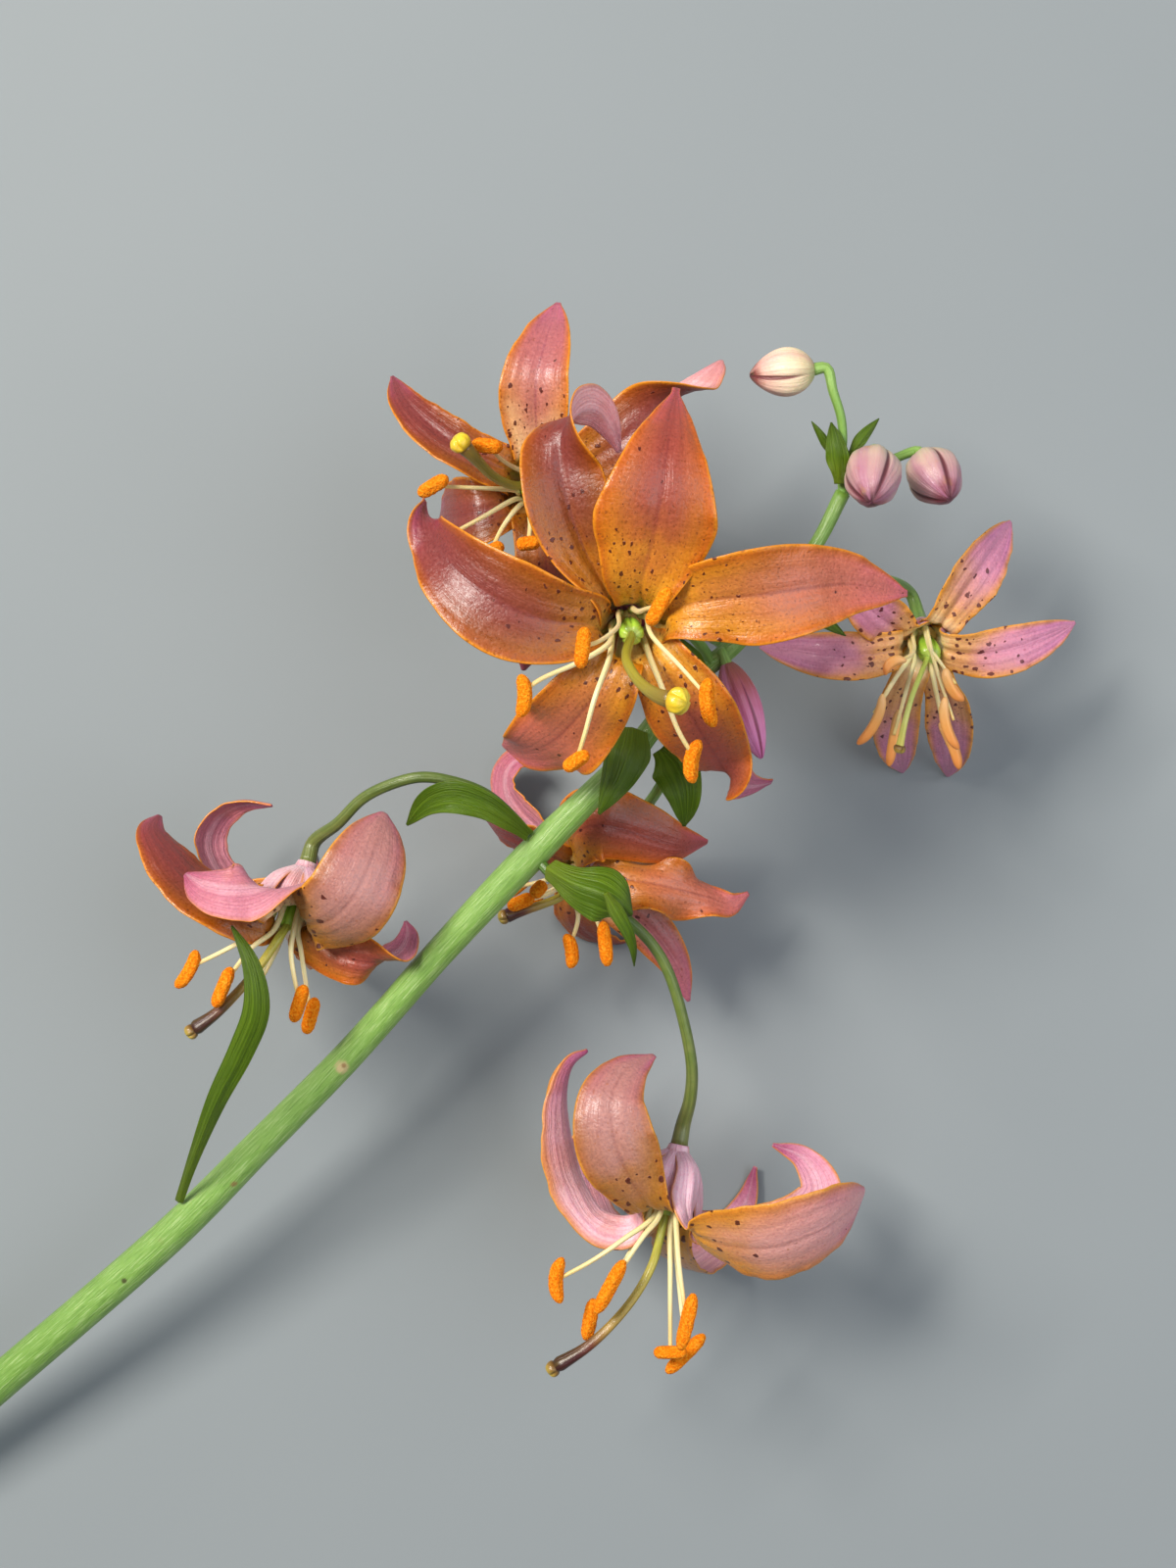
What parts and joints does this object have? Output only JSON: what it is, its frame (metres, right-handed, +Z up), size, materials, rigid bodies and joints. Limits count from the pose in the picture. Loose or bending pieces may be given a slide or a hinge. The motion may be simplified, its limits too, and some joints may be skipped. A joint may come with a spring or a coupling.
{
  "type": "martagon lily flower stem",
  "caption": "Cut flowering lily stem lying down, with spotted recurved blooms, closed buds, small leaves, long stamens and pistils.",
  "frame": {"origin": "centre of the bounding box, on the surface that the stem lies on", "axes": "+Z up off the surface; +Y towards the upper buds as the picture shows them; +X to its right"},
  "size_m": [0.239, 0.23, 0.0949],
  "materials": {
    "petal_orange": "living plant surface, matte to satin",
    "petal_salmon": "living plant surface, matte to satin",
    "petal_mauve": "living plant surface, matte to satin",
    "stamen": "living plant surface, matte to satin",
    "pistil": "living plant surface, matte to satin",
    "bud": "living plant surface, matte to satin",
    "stem": "living plant surface, matte to satin",
    "leaf": "living plant surface, matte to satin"
  },
  "bodies": {
    "root": {"bloom_a_petals": "petal_orange", "bloom_a_stamens": "stamen", "bloom_a_pistil": "pistil", "bloom_b_petals": "petal_orange", "bloom_b_stamens": "stamen", "bloom_b_pistil": "pistil", "bloom_c_petals": "petal_orange", "bloom_c_stamens": "stamen", "bloom_c_pistil": "pistil", "bloom_d_petals": "petal_orange", "bloom_d_stamens": "stamen", "bloom_d_pistil": "pistil", "bloom_e_petals": "petal_mauve", "bloom_e_stamens": "stamen", "bloom_e_pistil": "pistil", "bloom_f_petals": "petal_salmon", "bloom_f_stamens": "stamen", "bloom_f_pistil": "pistil", "bud_1": "bud", "bud_2": "bud", "bud_3": "bud", "bud_opening": "bud", "stem": "stem", "leaf_long": "leaf", "leaf_left": "leaf", "leaf_keel": "leaf", "leaf_keel_tip": "leaf", "leaf_front": "leaf", "leaf_hood": "leaf", "bract_a": "leaf", "bract_e": "leaf", "bract_buds": "leaf", "bract_buds_narrow": "leaf", "bract_buds_back": "leaf"}
  },
  "joints": []
}
